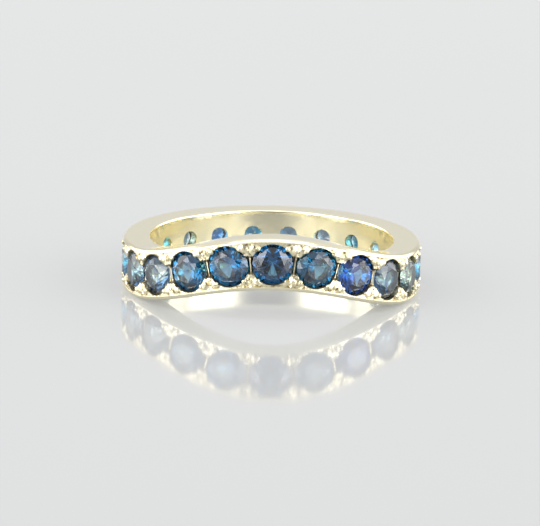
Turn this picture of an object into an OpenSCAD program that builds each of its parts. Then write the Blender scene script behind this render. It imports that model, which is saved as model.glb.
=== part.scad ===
// A full eternity ring that lies on its side, arched at the front.
// One gold band carries a single row of round brilliants, each in a drilled seat
// between two polished rails, and held by grains raised from the band's own metal.
// The finger's axis is Z. The ring rests on Z = 0, and the arch faces -Y.

/* [Band] */
// Diameter of the hole for the finger
finger_d = 16.6; // [16.4:0.1:19]
// Thickness of the band, from the finger hole to the rails
band_t = 1.85; // [1.75:0.05:2.4]
// Width of the band, along the finger
band_w = 3.5; // [3.4:0.05:4]
// Height that the front rises above the feet of the arch
arch_rise = 2.05; // [0.5:0.05:2.2]
// Angle round the finger from the front to each foot of the arch
arch_half = 70; // [64:1:86]
// Width of each polished rail beside the stones
rail_w = 0.28; // [0.2:0.01:0.3]
// Size of the bevel on the outer edge of each rail
rail_bevel = 0.26; // [0.1:0.02:0.28]
// Depth of the cut floor below the rails
floor_depth = 0.1; // [0.06:0.02:0.2]
// Radius of the rounded edges of the finger hole
edge_round = 0.15; // [0.1:0.05:0.6]

/* [Stones] */
// Diameter of each stone
stone_d = 2.7; // [2.5:0.05:2.8]
// Width of the table, as a share of the stone's diameter
table_share = 0.56; // [0.5:0.01:0.64]
// Slope of the crown's main facets
crown_slope = 34; // [30:1:37]
// Height of the girdle
girdle_h = 0.07; // [0.04:0.01:0.12]
// Slope of the pavilion's main facets
pavilion_slope = 40; // [37:1:42]
// Height of the table above the rails
table_proud = 0.04; // [-0.08:0.02:0.1]

/* [Setting] */
// Clearance between a stone and its seat
seat_gap = 0.04; // [0.03:0.01:0.06]
// Thinnest wall left between two seats
web_min = 0.1; // [0.06:0.02:0.14]
// Diameter of the hole drilled through the band behind each stone
azure_d = 1.2; // [0.8:0.1:1.4]
// Length of the bar left between two stones, across the band
bar_length = 1.1; // [0.8:0.05:1.3]
// Depth of the bar below the cut floor
bar_drop = 0.28; // [0.1:0.02:0.34]
// Diameter of the grains that hold the stones
grain_d = 0.42; // [0.4:0.02:0.54]
// How far a holding grain reaches over the edge of its stone
grain_grip = 0.1; // [0.06:0.02:0.16]
// Direction of the holding grains from the stone's centre, up from the row
grain_angle = 48; // [44:1:50]
// Diameter of the filler grain between two holding grains
filler_d = 0.38; // [0.3:0.02:0.44]
// Distance of the filler grains from the middle of the row
filler_offset = 1; // [0.92:0.01:1.06]

/* [Hidden] */
$fn = 96;
RING_STEPS = 60;     // straight facets round each edge of the band
PAST = 1;            // how far a cutting shape runs past what it cuts
STAR_SHARE = 0.5;    // length of the star facets, from the table's edge to the girdle
LOWER_SHARE = 0.77;  // length of the lower girdle facets, from the girdle to the culet
FACET_SWELL = 0.03;  // how far the facet junctions stand out of the stone's cones
TURN_STEP = 31;      // each stone is turned this much more about its own axis
FOLDS = 8;           // main facets round a brilliant
EDGE_RUN = 0.1;      // how far the rounded inner edges run past the finger hole
FOOT_SINK = 0.02;    // how far the swept foot runs below the plane that cuts it flat

finger_r = finger_d / 2;
rail_r = finger_r + band_t;
floor_r = rail_r - floor_depth;

stone_r = stone_d / 2;
table_r = stone_r * table_share;
crown_h = (stone_r - table_r) * tan(crown_slope);
girdle_r = rail_r + table_proud - crown_h;
seat_r = stone_r + seat_gap;

// As many stones as the ring holds with a thin wall between their seats
stone_n = floor(180 / atan((seat_r + web_min / 2) / (girdle_r - girdle_h)));
pitch = 360 / stone_n;

grain_r = grain_d / 2;
filler_r = filler_d / 2;
grain_reach = stone_r + grain_r - grain_grip;
// The holding grain's centre clears the crown by the seat's clearance
grain_lift = FACET_SWELL
    + (grain_r + seat_gap - (grain_reach - stone_r) * sin(crown_slope)) / cos(crown_slope);

function two_digits(i) = i < 10 ? str("0", i) : str(i);
function stone_name(i) = str("sapphire_", two_digits(i));
function stone_angle(i) = pitch * (i - 1);

// Angle from the front, between -180 and 180
function from_front(a) = a > 180 ? a - 360 : a;
// Height of the row's middle line above its place at the back
function arch_lift(a) =
    abs(from_front(a)) < arch_half
        ? arch_rise / 2 * (1 + cos(180 * from_front(a) / arch_half)) : 0;
// Slope of the row at that angle, in degrees
function arch_slope(a) =
    abs(from_front(a)) < arch_half
        ? atan(-arch_rise / 2 * sin(180 * from_front(a) / arch_half) * 180 / arch_half / rail_r)
        : 0;
// Outline of the band's inner edge, from its face at height 0 to past the finger hole
function rounded_edge() = concat(
    [for (a = [90 : -25 : 15])
        [finger_r + edge_round * (1 - cos(a)), edge_round * (1 - sin(a))]],
    [[finger_r - EDGE_RUN, edge_round + EDGE_RUN]]);
function backwards(list) = [for (i = [len(list) - 1 : -1 : 0]) list[i]];

// Points evenly round a circle of radius r at height z
function circle_points(n, r, z, start = 0) =
    [for (i = [0 : n - 1]) let (a = start + 360 * i / n) [r * cos(a), r * sin(a), z]];

// Puts its children on the row at angle a, with Z pointing out of the band,
// X along the row and Y across it. Z = 0 is the finger's axis.
module on_row(a) {
    rotate([0, 0, a])
        translate([0, 0, band_w / 2 + arch_lift(a)])
            rotate([90, 0, 0])
                rotate([0, 0, arch_slope(a)])
                    children();
}

// Carries an outline of [radius, height] points round the ring, along the arch
module arched_ring(outline) {
    n = len(outline);
    turns = [for (i = [0 : RING_STEPS - 1]) 360 * i / RING_STEPS];
    polyhedron(
        points = [for (a = turns, p = outline)
            let (rests = p[1] == 0 && arch_lift(a) == 0)
                [p[0] * sin(a), -p[0] * cos(a), rests ? -FOOT_SINK : p[1] + arch_lift(a)]],
        faces = [for (i = [0 : RING_STEPS - 1], j = [0 : n - 1], half = [0, 1])
            let (
                here = n * i,
                next = n * ((i + 1) % RING_STEPS),
                k = (j + 1) % n)
                half == 0
                    ? [here + j, here + k, next + k]
                    : [here + j, next + k, next + j]]);
}

// The band before it is cut for the stones, with bevelled rails and rounded inner edges
module band_blank() {
    edge = rounded_edge();
    near = rail_r - rail_bevel;
    far = rail_r + PAST;
    far_h = rail_bevel + PAST;
    difference() {
        intersection() {
            cylinder(r = rail_r, h = band_w + arch_rise);
            arched_ring(concat(
                [[near, 0], [far, far_h], [far, band_w - far_h], [near, band_w]],
                [for (p = edge) [p[0], band_w - p[1]]],
                backwards(edge)));
        }
        translate([0, 0, -PAST])
            cylinder(r = finger_r, h = band_w + arch_rise + 2 * PAST);
    }
}

// The shallow channel between the rails
module channel() {
    far = rail_r + PAST;
    near = floor_r - PAST;
    difference() {
        arched_ring([
            [far, rail_w], [far, band_w - rail_w],
            [near, band_w - rail_w], [near, rail_w]]);
        translate([0, 0, -PAST])
            cylinder(r = floor_r, h = band_w + arch_rise + 2 * PAST);
    }
}

// The seat of one stone: a drilled hole, a cone for the pavilion and a straight wall
module seat() {
    azure_r = azure_d / 2;
    seat_floor = girdle_r - girdle_h - seat_gap - FACET_SWELL;
    rotate_extrude()
        polygon([
            [0, finger_r - PAST],
            [azure_r, finger_r - PAST],
            [azure_r, seat_floor - (seat_r - azure_r) * tan(pavilion_slope)],
            [seat_r, seat_floor],
            [seat_r, rail_r + PAST],
            [0, rail_r + PAST]]);
}

// The notch that lowers the bar between two stones
module bar_notch() {
    notch_w = 2 * rail_r * sin(pitch / 2);
    translate([-notch_w / 2, -bar_length / 2, floor_r - bar_drop])
        cube([notch_w, bar_length, PAST]);
}

// The four grains that hold one stone
module holding_grains() {
    for (side = [-1, 1], end = [-1, 1])
        translate([
            end * grain_reach * cos(grain_angle),
            side * grain_reach * sin(grain_angle),
            girdle_r + grain_lift])
            sphere(r = grain_r);
}

// The two filler grains between one pair of stones
module filler_grains() {
    for (side = [-1, 1])
        translate([0, side * filler_offset, floor_r])
            sphere(r = filler_r);
}

module band() {
    color("khaki") {
        difference() {
            band_blank();
            channel();
            for (i = [1 : stone_n]) {
                on_row(stone_angle(i)) seat();
                on_row(stone_angle(i) + pitch / 2) bar_notch();
            }
        }
        for (i = [1 : stone_n]) {
            on_row(stone_angle(i)) holding_grains();
            on_row(stone_angle(i) + pitch / 2) filler_grains();
        }
    }
}

// A round brilliant with its table up and its upper girdle edge at Z = 0
module brilliant() {
    half_fold = 180 / FOLDS;
    n = 2 * FOLDS;
    table_flat_r = table_r * cos(half_fold);
    star_r = table_flat_r + STAR_SHARE * (stone_r - table_flat_r);
    star_h = (stone_r - star_r * cos(half_fold)) * tan(crown_slope);
    lower_r = stone_r * (1 - LOWER_SHARE) / cos(half_fold);
    lower_h = -girdle_h - (stone_r - lower_r * cos(half_fold)) * tan(pavilion_slope);
    culet_h = -girdle_h - stone_r * tan(pavilion_slope);
    // Where each ring of points starts in the list
    star = FOLDS;
    top = star + FOLDS;
    under = top + n;
    lower = under + n;
    culet = lower + FOLDS;
    polyhedron(
        points = concat(
            circle_points(FOLDS, table_r, crown_h),
            circle_points(FOLDS, star_r, star_h, half_fold),
            circle_points(n, stone_r, 0),
            circle_points(n, stone_r, -girdle_h),
            circle_points(FOLDS, lower_r, lower_h, half_fold),
            [[0, 0, culet_h]]),
        faces = concat(
            [[for (i = [FOLDS - 1 : -1 : 0]) i]],
            [for (i = [0 : FOLDS - 1]) [i, (i + 1) % FOLDS, star + i]],
            [for (i = [0 : FOLDS - 1])
                [i, star + i, top + 2 * i, star + (i + FOLDS - 1) % FOLDS]],
            [for (i = [0 : FOLDS - 1], j = [0, 1])
                [star + i, top + (2 * i + j + 1) % n, top + 2 * i + j]],
            [for (j = [0 : n - 1])
                [top + j, top + (j + 1) % n, under + (j + 1) % n, under + j]],
            [for (i = [0 : FOLDS - 1], j = [0, 1])
                [under + 2 * i + j, under + (2 * i + j + 1) % n, lower + i]],
            [for (i = [0 : FOLDS - 1])
                [under + 2 * i, lower + i, culet, lower + (i + FOLDS - 1) % FOLDS]]));
}

module sapphire(i) {
    color("steelblue")
        on_row(stone_angle(i))
            translate([0, 0, girdle_r])
                rotate([0, 0, TURN_STEP * (i - 1)])
                    brilliant();
}

band();
for (i = [1 : stone_n])
    sapphire(i);
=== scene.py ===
import math
import random

import bmesh
import bpy
from mathutils import Matrix, Vector


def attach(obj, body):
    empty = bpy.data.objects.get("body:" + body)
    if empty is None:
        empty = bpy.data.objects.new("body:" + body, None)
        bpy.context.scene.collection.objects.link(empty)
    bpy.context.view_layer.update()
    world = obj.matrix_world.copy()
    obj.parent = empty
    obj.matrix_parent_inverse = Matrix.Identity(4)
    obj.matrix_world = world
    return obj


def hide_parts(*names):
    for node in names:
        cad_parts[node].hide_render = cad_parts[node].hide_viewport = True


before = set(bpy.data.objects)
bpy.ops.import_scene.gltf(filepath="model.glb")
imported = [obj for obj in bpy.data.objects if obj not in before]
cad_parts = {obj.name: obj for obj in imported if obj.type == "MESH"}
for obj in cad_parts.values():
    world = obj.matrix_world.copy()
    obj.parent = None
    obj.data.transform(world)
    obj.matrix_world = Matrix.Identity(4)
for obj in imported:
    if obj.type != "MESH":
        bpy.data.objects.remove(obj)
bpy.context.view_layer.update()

MM = 0.001

# Sizes of the ring in millimetres, as in its solids
STONES = 21
PITCH = 360 / STONES
FINGER_R = 8.3
RAIL_R = 10.15
FLOOR_R = 10.05
BAND_W = 3.5
HALF_W = BAND_W / 2
RAIL_W = 0.28
RAIL_BEVEL = 0.26
EDGE_ROUND = 0.15
ARCH_RISE = 2.05
ARCH_HALF = 70
SEAT_R = 1.39
SEAT_FLOOR = 9.649
GIRDLE_R = 9.789
AZURE_R = 0.6
PAVILION_SLOPE = 40
BAR_HALF = 0.55
BAR_DROP = 0.28
CREST_HALF = 0.035
GRAIN_R = 0.21
GRAIN_REACH = 1.46
GRAIN_LIFT = 0.252
GRAIN_ANGLE = 48
FILLER_R = 0.19
FILLER_OFFSET = 1

# The cut floor between two stones: its softened steps, and its mounds, pits and groove
GAP_SEED = 100
PAD_LIFT = 0.03
BAR_SOFT = 0.1
FLANK_DROP = 0.12
FLANK_SOFT = 0.05
CREST_LEAN = 0.06
MOUND_ALONG = 0.4
MOUND_ACROSS = 1.1
MOUND_SHIFT = 0.06
MOUND_R = (0.28, 0.36)
MOUND_RISE = (0.08, 0.13)
PIT_ALONG = (0.1, 0.3)
PIT_ACROSS = (1.2, 1.38)
PIT_R = (0.05, 0.08)
PIT_DEPTH = (0.1, 0.16)
GROOVE_DEPTH = 0.05
GROOVE_HALF = 0.035
GROOVE_TILT = 0.1
GROOVE_END = 0.8
GROOVE_FADE = 0.2

# Softened edges of a seat's rim and of the hole behind it
RIM_SOFT = 0.012
RIM_DROP = 0.015
HOLE_LIP = 0.03

# Mesh density of one stone's share of the band, finer near the front: points along each rail
# and rings of the cut floor, with the points round a grain after them
SIDE_SEGS = 28
FINE = (44, 18)
COARSE = (16, 7)
FINE_GRAIN = 20
COARSE_GRAIN = 12
FINE_REACH = 4
# How far from the front the walls of the seats get painted shade
PAINTED_SHADE_REACH = 2
# Rings of a stone's share between which its seat wall gets painted shade near the front
SEAT_FOOT_RING = 7
SEAT_RIM_RING = 8
# Points nearer than this are joined, in metres, and edges sharper than this stay sharp
JOIN_WITHIN = 2e-7
SHARP_ANGLE = 38

# Material slots of the band's pieces
POLISHED, RESIDUE_AND_SHADE, CUT = 0, 1, 2

# The camera, from the fit to the photograph
CAM_DISTANCE = 260
CAM_ELEVATION = 12.995
CAM_AZIMUTH = -0.565
CAM_ROLL = 1.304
CAM_LENS = 253.7
CAM_SENSOR = 36
CAM_TARGET = (-0.08, 0, 1.615)

# Brightness of the tent: low down, added overhead and how wide, glows as azimuth and
# strength, and the depth of the dark gap
SKY_LOW = 0.58
SKY_TOP = 0.26
TOP_WIDTHS = (30, 85)
SIDE_GLOWS = ((-57, 4.7), (59, 5.0), (-114, 2.4), (114, 2.4), (180, 0.15))
GAP_DARK = 0.96
# Height of the glows and of the gap, and how wide each is inside and outside its soft edge
GLOW_ELEVATION = 14
GLOW_WIDTHS = (13, 32)
GAP_AZIMUTH = 2
GAP_WIDTHS = (10, 25)
# Area lights: place and size in metres, and power in watts
LIGHTS = {
    "top_softbox": ((0, 0.05, 0.6), (0.5, 0.4), 0.1),
    "front_strip": ((0, -0.14, 0.5), (0.6, 0.2), 0.8),
}

# The glossy white floor
STAGE_HALF = 1.5
STAGE_COLOR = (0.27, 0.27, 0.27, 1)
STAGE_GLOW = (0.96, 0.99, 1, 1)
STAGE_GLOW_STRENGTH = 0.24
STAGE_ROUGHNESS = 0.075
STAGE_IOR = 1.44

# Tints of the stones: absorption colour and density, and the stones that have each
TINTS = {
    "sapphire_navy": ((0.06, 0.55, 0.72), 1600, (1, 12)),
    "sapphire_teal": ((0.08, 0.54, 0.67), 1500, (2, 9, 15)),
    "sapphire_royal": ((0.07, 0.46, 0.76), 1350, (3, 7, 13)),
    "sapphire_slate": ((0.08, 0.36, 0.55), 1150, (4, 8, 11, 16, 18)),
    "sapphire_pale": ((0.20, 0.40, 0.43), 1000, (5, 14)),
    "sapphire_lilac": ((0.22, 0.42, 0.58), 1000, (10, 19)),
    "sapphire_steel": ((0.11, 0.54, 0.70), 1350, (6, 17, 20, 21)),
}


def lift(angle):
    """Height of the row's middle above its place at the back, at an angle from the front."""
    turn = (angle + 180) % 360 - 180
    if abs(turn) >= ARCH_HALF:
        return 0.0
    return ARCH_RISE / 2 * (1 + math.cos(math.pi * turn / ARCH_HALF))


def slope(angle):
    """Slope of the row at an angle from the front, in radians."""
    turn = (angle + 180) % 360 - 180
    if abs(turn) >= ARCH_HALF:
        return 0.0
    rise = -ARCH_RISE / 2 * math.sin(math.pi * turn / ARCH_HALF) * 180 / ARCH_HALF
    return math.atan(rise / RAIL_R)


def place(angle, radius, across):
    """Point at an angle from the front, a radius, and a distance up from the row's middle."""
    a = math.radians(angle)
    z = HALF_W + lift(angle) + across
    return (MM * radius * math.sin(a), -MM * radius * math.cos(a), MM * z)


def to_row(angle, across, centre, radius=FLOOR_R):
    """Position along and across the row, measured from the row's point at the angle centre."""
    along = radius * math.sin(math.radians(angle - centre))
    up = across + lift(angle) - lift(centre)
    s = slope(centre)
    return along * math.cos(s) + up * math.sin(s), up * math.cos(s) - along * math.sin(s)


def from_row(x, y, centre, radius):
    """Angle and distance across for a point on the row, the other way round."""
    s = slope(centre)
    along = x * math.cos(s) - y * math.sin(s)
    up = x * math.sin(s) + y * math.cos(s)
    angle = centre + math.degrees(math.asin(along / radius))
    return angle, up + lift(centre) - lift(angle)


def smooth(t):
    """Soft step from 0 to 1 while t goes from 0 to 1."""
    t = min(1.0, max(0.0, t))
    return t * t * (3 - 2 * t)


def near_front(number, reach):
    """Whether a stone is no more than so many places from the one at the front."""
    return min(number, STONES - number) <= reach


class Gap:
    """The metal between two stones: a bar, and at each end of it a pad with mounds and pits."""

    def __init__(self, number):
        rng = random.Random(GAP_SEED + number)
        self.centre = PITCH * (number + 0.5)
        self.mounds = []
        self.pits = []
        for side in (-1, 1):
            for end in (-1, 1):
                x = end * (MOUND_ALONG + rng.uniform(-MOUND_SHIFT, MOUND_SHIFT))
                y = side * (MOUND_ACROSS + rng.uniform(-MOUND_SHIFT, MOUND_SHIFT))
                self.mounds.append((x, y, rng.uniform(*MOUND_R), rng.uniform(*MOUND_RISE)))
            x = rng.choice((-1, 1)) * rng.uniform(*PIT_ALONG)
            y = side * rng.uniform(*PIT_ACROSS)
            self.pits.append((x, y, rng.uniform(*PIT_R), rng.uniform(*PIT_DEPTH)))
        # How far the groove and the bar's crest slant
        self.tilt = rng.uniform(-GROOVE_TILT, GROOVE_TILT)
        self.lean = rng.uniform(-CREST_LEAN, CREST_LEAN)

    def height(self, x, y):
        """Height of the cut floor above FLOOR_R at a point on the row."""
        in_bar = smooth((BAR_HALF + BAR_SOFT / 2 - abs(y)) / BAR_SOFT)
        h = PAD_LIFT - BAR_DROP * in_bar
        beside_crest = smooth((abs(x - self.lean * y) - CREST_HALF) / FLANK_SOFT)
        h -= FLANK_DROP * in_bar * beside_crest
        for mx, my, radius, rise in self.mounds:
            d = math.hypot(x - mx, y - my) / radius
            if d < 1:
                h += rise * (1 - d * d) ** 0.7
        for px, py, radius, depth in self.pits:
            d = math.hypot(x - px, y - py) / radius
            if d < 1:
                h -= depth * (1 - d * d)
        # A groove left by the graver runs from the rail towards the bar
        groove = math.exp(-((x - self.tilt * y) / GROOVE_HALF) ** 2)
        h -= GROOVE_DEPTH * groove * smooth((abs(y) - GROOVE_END) / GROOVE_FADE)
        return h


GAPS = [Gap(i) for i in range(STONES)]


def floor_height(angle, across):
    """Radius of the cut floor at a point of the band."""
    gap = GAPS[math.floor(angle / PITCH) % STONES]
    x, y = to_row(angle, across, gap.centre)
    return FLOOR_R + gap.height(x, y)


def beside_bar(angle, across):
    """Whether a point of the cut floor lies in the flank beside a bar's crest, dulled with residue
    and painted shade.
    """
    gap = GAPS[math.floor(angle / PITCH) % STONES]
    x, y = to_row(angle, across, gap.centre)
    return abs(y) < BAR_HALF + 0.06 and abs(x - gap.lean * y) > CREST_HALF


def border_points(centre, reach, top_segs):
    """The points round one stone's share of the band, from the lower left corner on."""
    left = centre - PITCH / 2
    right = centre + PITCH / 2
    points = []
    for i in range(top_segs):
        points.append((left + PITCH * i / top_segs, -reach))
    for i in range(SIDE_SEGS):
        points.append((right, -reach + 2 * reach * i / SIDE_SEGS))
    for i in range(top_segs):
        points.append((right - PITCH * i / top_segs, reach))
    for i in range(SIDE_SEGS):
        points.append((left, reach - 2 * reach * i / SIDE_SEGS))
    return points


def rim_directions(top_segs):
    """Directions round a stone that match the border's points, from the lower left on."""
    width = math.radians(PITCH) * FLOOR_R
    height = 2 * (HALF_W - RAIL_W)
    corner = math.atan2(height, width)
    sides = [
        (-math.pi + corner, -corner, top_segs),
        (-corner, corner, SIDE_SEGS),
        (corner, math.pi - corner, top_segs),
        (math.pi - corner, math.pi + corner, SIDE_SEGS),
    ]
    angles = []
    for first, last, n in sides:
        for i in range(n):
            angles.append(first + (last - first) * i / n)
    return angles


def rim_ring(centre, radius, rim):
    """Angle and distance across of the seat's rim, on the cut floor."""
    ring = []
    for t in rim:
        x, y = radius * math.cos(t), radius * math.sin(t)
        r = FLOOR_R
        for _ in range(2):
            angle, across = from_row(x, y, centre, r)
            r = floor_height(angle, across)
        ring.append((angle, across))
    return ring


def on_row(centre, x, y, out):
    """Point in a stone's own axes: along the row, across it and out of the band."""
    s = slope(centre)
    along = x * math.cos(s) - y * math.sin(s)
    up = x * math.sin(s) + y * math.cos(s)
    a = math.radians(centre)
    return (
        MM * (out * math.sin(a) + along * math.cos(a)),
        MM * (along * math.sin(a) - out * math.cos(a)),
        MM * (HALF_W + lift(centre) + up))


def local_ring(centre, radius, height, rim):
    """Ring round a stone's own axis, at a height along that axis."""
    return [on_row(centre, radius * math.cos(t), radius * math.sin(t), height) for t in rim]


def edge_profile():
    """Outline from the foot of a rail over the band's face to its inner wall: radius, inset."""
    # The rail's inner edge, softened, and its top up to the bevel
    outline = [
        (FLOOR_R + 0.05, -RAIL_W + 0.006),
        (RAIL_R - 0.012, -RAIL_W + 0.018),
        (RAIL_R, -RAIL_W + 0.03),
        (RAIL_R, -RAIL_BEVEL - 0.012),
    ]
    # The bevel swells a little between its two softened edges
    for f in (0.06, 0.14, 0.3, 0.5, 0.7, 0.86, 0.94):
        swell = 0.08 * RAIL_BEVEL * (1 - (2 * f - 1) ** 2)
        outline.append((RAIL_R - RAIL_BEVEL * f + swell, -RAIL_BEVEL * (1 - f) + swell))
    # The flat face, then its rounded edge to the inner wall
    for r in (RAIL_R - RAIL_BEVEL - 0.012, RAIL_R - RAIL_BEVEL - 0.03, RAIL_R - 0.6,
              RAIL_R - 1.1, FINGER_R + 0.4, FINGER_R + EDGE_ROUND + 0.03):
        outline.append((r, 0))
    for i in range(6):
        a = math.pi / 2 * (1 - i / 5)
        outline.append((FINGER_R + EDGE_ROUND * (1 - math.cos(a)), -EDGE_ROUND * (1 - math.sin(a))))
    return outline


def band_cell(number, verts, faces, residue_and_shade_faces, cut):
    """Adds one stone's share of the band to the mesh."""
    centre = PITCH * number
    # Seat walls near the front are darkened with painted shade
    dark = near_front(number, PAINTED_SHADE_REACH)
    top_segs, pad_rings = FINE if near_front(number, FINE_REACH) else COARSE
    rim = rim_directions(top_segs)
    n_rim = len(rim)
    rings = []

    # The hole drilled through the band, from the finger's side out
    wall = border_points(centre, HALF_W - EDGE_ROUND, top_segs)
    azure_rim = []
    for t in rim:
        azure_rim.append(from_row(
            AZURE_R * math.cos(t), AZURE_R * math.sin(t), centre, FINGER_R))
    for f in (1, 0.7, 0.4, 0.15, 0.03):
        ring = []
        for (wa, wv), (ra, rv) in zip(wall, azure_rim):
            ring.append(place(ra + (wa - ra) * f, FINGER_R, rv + (wv - rv) * f))
        rings.append(ring)
    cone_foot = SEAT_FLOOR - (SEAT_R - AZURE_R) * math.tan(math.radians(PAVILION_SLOPE))
    rings.append(local_ring(centre, AZURE_R, FINGER_R + HOLE_LIP, rim))
    rings.append(local_ring(centre, AZURE_R, cone_foot, rim))
    rings.append(local_ring(centre, SEAT_R, SEAT_FLOOR, rim))

    # The seat's straight wall, up to its rim on the cut floor
    edge = rim_ring(centre, SEAT_R, rim)
    soft = rim_ring(centre, SEAT_R + RIM_SOFT, rim)
    top = []
    for t, (angle, across) in zip(rim, edge):
        r = floor_height(angle, across) - RIM_DROP
        angle, across = from_row(SEAT_R * math.cos(t), SEAT_R * math.sin(t), centre, r)
        top.append(place(angle, r, across))
    rings.append(top)
    rings.append([place(a, floor_height(a, v), v) for a, v in soft])

    # The cut floor, out to the rails and to the next stone's share
    border = border_points(centre, HALF_W - RAIL_W, top_segs)
    flanks = {}
    none = [False] * n_rim
    for i in range(1, pad_rings + 1):
        f = i / pad_rings
        ring = []
        flank = []
        for (sa, sv), (ba, bv) in zip(soft, border):
            a, v = sa + (ba - sa) * f, sv + (bv - sv) * f
            ring.append(place(a, floor_height(a, v), v))
            flank.append(beside_bar(a, v))
        flanks[len(rings) - 1] = flank
        rings.append(ring)

    base = len(verts)
    for ring in rings:
        verts.extend(ring)
    for j in range(len(rings) - 1):
        for i in range(n_rim):
            k = (i + 1) % n_rim
            here, there = base + j * n_rim, base + (j + 1) * n_rim
            in_seat_wall = SEAT_FOOT_RING <= j < SEAT_RIM_RING
            # Bar flanks, and seat walls near the front, take the residue and painted shade material
            if flanks.get(j, none)[i] or (in_seat_wall and dark):
                residue_and_shade_faces.add(len(faces))
            elif j >= SEAT_FOOT_RING:
                cut.add(len(faces))
            faces.append((here + i, here + k, there + k, there + i))

    # The rails and the faces, from the cut floor over the edge to the inner wall
    outer = base + (len(rings) - 1) * n_rim
    profile = edge_profile()
    for side in (-1, 1):
        first = 0 if side < 0 else top_segs + SIDE_SEGS
        columns = []
        for i in range(top_segs + 1):
            step = (first + i) % n_rim
            angle = border[step][0]
            column = [outer + step]
            for r, inset in profile[:-1]:
                column.append(len(verts))
                verts.append(place(angle, r, side * (HALF_W + inset)))
            column.append(base + step)
            columns.append(column)
        for one, two in zip(columns, columns[1:]):
            for j in range(len(one) - 1):
                faces.append((one[j], two[j], two[j + 1], one[j + 1]))


def bead(centre, x, y, out, radius, rng, verts, faces, n):
    """Adds one grain: a bead pushed up by hand, flattened on top and a little out of round."""
    base = len(verts)
    stretch = rng.uniform(0.8, 1.0)
    turn = rng.uniform(0, math.pi)
    cap = rng.uniform(0.68, 0.88)
    dent = rng.uniform(0.03, 0.09)
    rows = n // 2
    for j in range(rows + 1):
        p = math.pi * j / rows
        for i in range(n):
            t = 2 * math.pi * i / n
            w = radius * math.sin(p) * (1 - (1 - stretch) * math.cos(t - turn) ** 2)
            w *= 1 - dent * (1 + math.sin(3 * t + turn)) * math.sin(p)
            h = radius * min(math.cos(p), cap + 0.3 * (math.cos(p) - cap))
            h *= 1 - dent * (1 + math.cos(2 * t - turn)) * math.sin(p)
            verts.append(on_row(centre, x + w * math.cos(t), y + w * math.sin(t), out + h))
    for j in range(rows):
        for i in range(n):
            k = (i + 1) % n
            here, there = base + j * n, base + (j + 1) * n
            faces.append((here + i, there + i, there + k, here + k))


def make_grains():
    """The grains that hold the stones, as beads on the cut floor."""
    verts, faces = [], []
    rng = random.Random(7)
    for number in range(STONES):
        n = FINE_GRAIN if near_front(number, FINE_REACH) else COARSE_GRAIN
        a = math.radians(GRAIN_ANGLE)
        for side in (-1, 1):
            for end in (-1, 1):
                bead(PITCH * number, end * GRAIN_REACH * math.cos(a),
                     side * GRAIN_REACH * math.sin(a), GIRDLE_R + GRAIN_LIFT,
                     GRAIN_R * rng.uniform(0.9, 1), rng, verts, faces, n)
            bead(PITCH * (number + 0.5), rng.uniform(-0.04, 0.04), side * FILLER_OFFSET,
                 FLOOR_R, FILLER_R * rng.uniform(0.8, 1), rng, verts, faces, n)
    obj = mesh_object("band_grains", verts, faces)
    for polygon in obj.data.polygons:
        polygon.material_index = CUT
    clean_mesh(obj)
    return obj


def mesh_object(name, verts, faces, rounded=True):
    """A new object of points and faces, shaded round or flat."""
    mesh = bpy.data.meshes.new(name)
    mesh.from_pydata(verts, [], faces)
    mesh.update()
    obj = bpy.data.objects.new(name, mesh)
    bpy.context.collection.objects.link(obj)
    mesh.polygons.foreach_set("use_smooth", [rounded] * len(mesh.polygons))
    return obj


def clean_mesh(obj):
    """Joins points that meet, and turns every face outwards."""
    bm = bmesh.new()
    bm.from_mesh(obj.data)
    bmesh.ops.remove_doubles(bm, verts=bm.verts, dist=JOIN_WITHIN)
    bmesh.ops.recalc_face_normals(bm, faces=bm.faces)
    bm.to_mesh(obj.data)
    bm.free()


def make_band():
    """The band without its grains, as one mesh."""
    verts, faces, residue_and_shade_faces, cut = [], [], set(), set()
    for number in range(STONES):
        band_cell(number, verts, faces, residue_and_shade_faces, cut)
    obj = mesh_object("band_metal", verts, faces)
    for i in residue_and_shade_faces:
        obj.data.polygons[i].material_index = RESIDUE_AND_SHADE
    for i in cut:
        obj.data.polygons[i].material_index = CUT
    clean_mesh(obj)
    obj.data.set_sharp_from_angle(angle=math.radians(SHARP_ANGLE))
    return obj


def node_material(name):
    """A new material, its nodes and its main shader."""
    mat = bpy.data.materials.new(name)
    mat.use_nodes = True
    tree = mat.node_tree
    return mat, tree, tree.nodes["Principled BSDF"]


def add_noise(tree, scale, detail):
    """A noise texture fixed to the object."""
    coord = tree.nodes.new("ShaderNodeTexCoord")
    noise = tree.nodes.new("ShaderNodeTexNoise")
    noise.inputs["Scale"].default_value = scale
    noise.inputs["Detail"].default_value = detail
    tree.links.new(coord.outputs["Object"], noise.inputs["Vector"])
    return noise


def map_range(tree, source, low, high):
    """A socket that goes from low to high while the source goes from 0 to 1."""
    node = tree.nodes.new("ShaderNodeMapRange")
    node.inputs["To Min"].default_value = low
    node.inputs["To Max"].default_value = high
    tree.links.new(source, node.inputs["Value"])
    return node.outputs["Result"]


def add_ramp(tree, noise, first, last):
    """The noise turned into a colour between two stops; a stop is a place and a colour."""
    ramp = tree.nodes.new("ShaderNodeValToRGB")
    for element, (position, color) in zip(ramp.color_ramp.elements, (first, last)):
        element.position = position
        element.color = color
    tree.links.new(noise.outputs["Fac"], ramp.inputs["Fac"])
    return ramp.outputs["Color"]


def add_bump(tree, bsdf, noise, strength, distance):
    """Fine relief on the surface; the distance is in metres."""
    bump = tree.nodes.new("ShaderNodeBump")
    bump.inputs["Strength"].default_value = strength
    bump.inputs["Distance"].default_value = distance
    tree.links.new(noise.outputs["Fac"], bump.inputs["Height"])
    tree.links.new(bump.outputs["Normal"], bsdf.inputs["Normal"])


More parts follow.
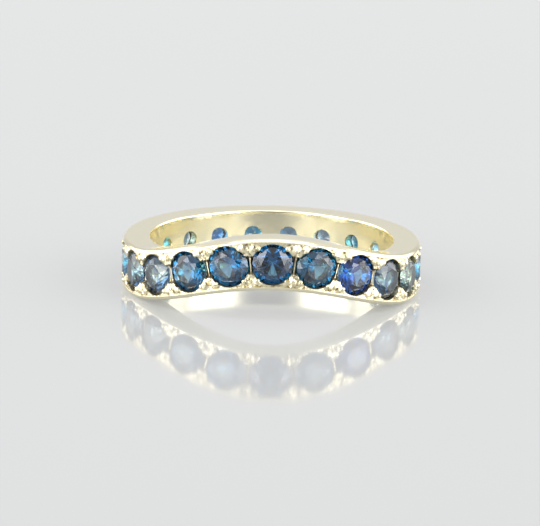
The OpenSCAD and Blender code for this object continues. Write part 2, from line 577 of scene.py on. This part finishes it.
def gold_material():
    """Polished metal of the rails, the faces and the inner wall."""
    mat, tree, bsdf = node_material("pale_yellow_gold")
    bsdf.inputs["Metallic"].default_value = 1
    bsdf.inputs["Base Color"].default_value = (0.93, 0.87, 0.65, 1)
    wear = add_noise(tree, 900, 4)
    tree.links.new(map_range(tree, wear.outputs["Fac"], 0.08, 0.22), bsdf.inputs["Roughness"])
    add_bump(tree, bsdf, add_noise(tree, 1500, 3), 0.35, 0.00003)
    return mat


def cut_material():
    """Metal left by the graver, between the stones: duller, with darker specks."""
    mat, tree, bsdf = node_material("cut_yellow_gold")
    bsdf.inputs["Metallic"].default_value = 1
    wear = add_noise(tree, 4200, 2)
    color = add_ramp(tree, wear, (0.34, (0.34, 0.25, 0.10, 1)), (0.47, (0.86, 0.79, 0.56, 1)))
    tree.links.new(color, bsdf.inputs["Base Color"])
    tree.links.new(map_range(tree, wear.outputs["Fac"], 0.34, 0.24), bsdf.inputs["Roughness"])
    add_bump(tree, bsdf, add_noise(tree, 5200, 2), 0.8, 0.00006)
    return mat


def residue_and_painted_shade_material():
    """Metal that polishing doesn't reach, darkened with residue and painted shade: walls of the
    seats and flanks of the bars.
    """
    mat, tree, bsdf = node_material("recess_gold_residue_and_painted_shade")
    bsdf.inputs["Metallic"].default_value = 0.6
    wear = add_noise(tree, 1200, 3)
    # The dark colours are painted shade of the hollows, with some polishing residue
    color = add_ramp(tree, wear, (0, (0.07, 0.06, 0.05, 1)), (1, (0.26, 0.21, 0.13, 1)))
    tree.links.new(color, bsdf.inputs["Base Color"])
    tree.links.new(map_range(tree, wear.outputs["Fac"], 0.4, 0.6), bsdf.inputs["Roughness"])
    return mat


def sapphire_material(name, color, density):
    """Clear blue stone, with the faint paler and deeper zones that grown corundum has."""
    mat, tree, bsdf = node_material(name)
    bsdf.inputs["IOR"].default_value = 1.77
    bsdf.inputs["Specular IOR Level"].default_value = 0.12
    bsdf.inputs["Transmission Weight"].default_value = 1
    zones = add_noise(tree, 620, 1)
    surface = add_ramp(tree, zones, (0.35, (0.72, 0.88, 1, 1)), (0.6, (1, 1, 1, 1)))
    tree.links.new(surface, bsdf.inputs["Base Color"])
    polish = add_noise(tree, 2400, 2)
    tree.links.new(map_range(tree, polish.outputs["Fac"], 0, 0.03), bsdf.inputs["Roughness"])
    absorb = tree.nodes.new("ShaderNodeVolumeAbsorption")
    absorb.inputs["Color"].default_value = (*color, 1)
    absorb.inputs["Density"].default_value = density
    output = tree.nodes["Material Output"]
    tree.links.new(absorb.outputs["Volume"], output.inputs["Volume"])
    return mat


def floor_material():
    """Lit white acrylic with a soft mirror image."""
    mat, _, bsdf = node_material("white_acrylic")
    bsdf.inputs["Base Color"].default_value = STAGE_COLOR
    bsdf.inputs["Emission Color"].default_value = STAGE_GLOW
    bsdf.inputs["Emission Strength"].default_value = STAGE_GLOW_STRENGTH
    bsdf.inputs["Roughness"].default_value = STAGE_ROUGHNESS
    bsdf.inputs["IOR"].default_value = STAGE_IOR
    return mat


def make_floor():
    """The floor that the ring lies on."""
    half = STAGE_HALF
    verts = [(-half, -half, 0), (half, -half, 0), (half, half, 0), (-half, half, 0)]
    floor = mesh_object("floor", verts, [(0, 1, 2, 3)], rounded=False)
    floor.data.materials.append(floor_material())


def add_math(tree, operation, a, b):
    """A Math node; a and b are sockets or numbers."""
    node = tree.nodes.new("ShaderNodeMath")
    node.operation = operation
    for i, value in enumerate((a, b)):
        if isinstance(value, (int, float)):
            node.inputs[i].default_value = value
        else:
            tree.links.new(value, node.inputs[i])
    return node.outputs[0]


def add_spot(tree, coord, azimuth, elevation, inner, outer):
    """1 inside a round spot of the sky and 0 outside; degrees, azimuth from the front to +X."""
    a, e = math.radians(azimuth), math.radians(elevation)
    dot = tree.nodes.new("ShaderNodeVectorMath")
    dot.operation = "DOT_PRODUCT"
    dot.inputs[1].default_value = (
        math.sin(a) * math.cos(e), -math.cos(a) * math.cos(e), math.sin(e))
    tree.links.new(coord.outputs["Generated"], dot.inputs[0])
    edge = tree.nodes.new("ShaderNodeMapRange")
    edge.interpolation_type = "SMOOTHSTEP"
    edge.inputs["From Min"].default_value = math.cos(math.radians(outer))
    edge.inputs["From Max"].default_value = math.cos(math.radians(inner))
    tree.links.new(dot.outputs["Value"], edge.inputs["Value"])
    return edge.outputs["Result"]


def make_world():
    """A white tent: bright above and at both sides, with a dark gap where the camera stands."""
    world = bpy.data.worlds.new("studio")
    world.use_nodes = True
    tree = world.node_tree
    back = tree.nodes["Background"]
    back.inputs["Color"].default_value = (1, 1, 1, 1)
    coord = tree.nodes.new("ShaderNodeTexCoord")
    above = add_spot(tree, coord, 0, 90, *TOP_WIDTHS)
    level = add_math(tree, "ADD", add_math(tree, "MULTIPLY", above, SKY_TOP), SKY_LOW)
    for azimuth, power in SIDE_GLOWS:
        glow = add_spot(tree, coord, azimuth, GLOW_ELEVATION, *GLOW_WIDTHS)
        level = add_math(tree, "ADD", level, add_math(tree, "MULTIPLY", glow, power))
    gap = add_spot(tree, coord, GAP_AZIMUTH, GLOW_ELEVATION, *GAP_WIDTHS)
    keep = add_math(tree, "SUBTRACT", 1, add_math(tree, "MULTIPLY", gap, GAP_DARK))
    level = add_math(tree, "MULTIPLY", level, keep)
    tree.links.new(level, back.inputs["Strength"])
    bpy.context.scene.world = world


def add_area(name, position, size, power):
    """An area light aimed at the ring."""
    light = bpy.data.lights.new(name, "AREA")
    light.shape = "RECTANGLE"
    light.size, light.size_y = size
    light.energy = power
    obj = bpy.data.objects.new(name, light)
    bpy.context.collection.objects.link(obj)
    obj.location = position
    aim = -Vector(position)
    obj.rotation_mode = "QUATERNION"
    obj.rotation_quaternion = aim.to_track_quat("-Z", "Y")


def make_camera():
    """The camera at the photograph's angle."""
    camera = bpy.data.cameras.new("camera")
    camera.sensor_width = CAM_SENSOR
    camera.lens = CAM_LENS
    camera.clip_start = 0.01
    obj = bpy.data.objects.new("camera", camera)
    bpy.context.collection.objects.link(obj)
    e, a = math.radians(CAM_ELEVATION), math.radians(CAM_AZIMUTH)
    back = Vector((math.sin(a) * math.cos(e), -math.cos(a) * math.cos(e), math.sin(e)))
    obj.location = MM * (Vector(CAM_TARGET) + back * CAM_DISTANCE)
    forward = -back
    right = forward.cross(Vector((0, 0, 1))).normalized()
    up = right.cross(forward)
    c, s = math.cos(math.radians(CAM_ROLL)), math.sin(math.radians(CAM_ROLL))
    x_axis = right * c + up * s
    y_axis = up * c - right * s
    look = Matrix((x_axis, y_axis, back)).transposed()
    obj.rotation_mode = "QUATERNION"
    obj.rotation_quaternion = look.to_quaternion()
    bpy.context.scene.camera = obj


def main():
    make_camera()
    make_world()
    make_floor()
    for name, (position, size, power) in LIGHTS.items():
        add_area(name, position, size, power)

    metals = {POLISHED: gold_material(), RESIDUE_AND_SHADE: residue_and_painted_shade_material(), CUT: cut_material()}
    for piece in (make_band(), make_grains()):
        for slot in sorted(metals):
            piece.data.materials.append(metals[slot])
        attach(piece, "root")
        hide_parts("band")

    for name, (color, density, stones) in TINTS.items():
        blue = sapphire_material(name, color, density)
        for number in stones:
            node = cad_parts["sapphire_%02d" % number]
            node.data.materials.clear()
            node.data.materials.append(blue)

    scene = bpy.context.scene
    scene.view_settings.view_transform = "Standard"
    scene.cycles.transmission_bounces = 16
    scene.cycles.glossy_bounces = 8
    scene.cycles.max_bounces = 16


main()
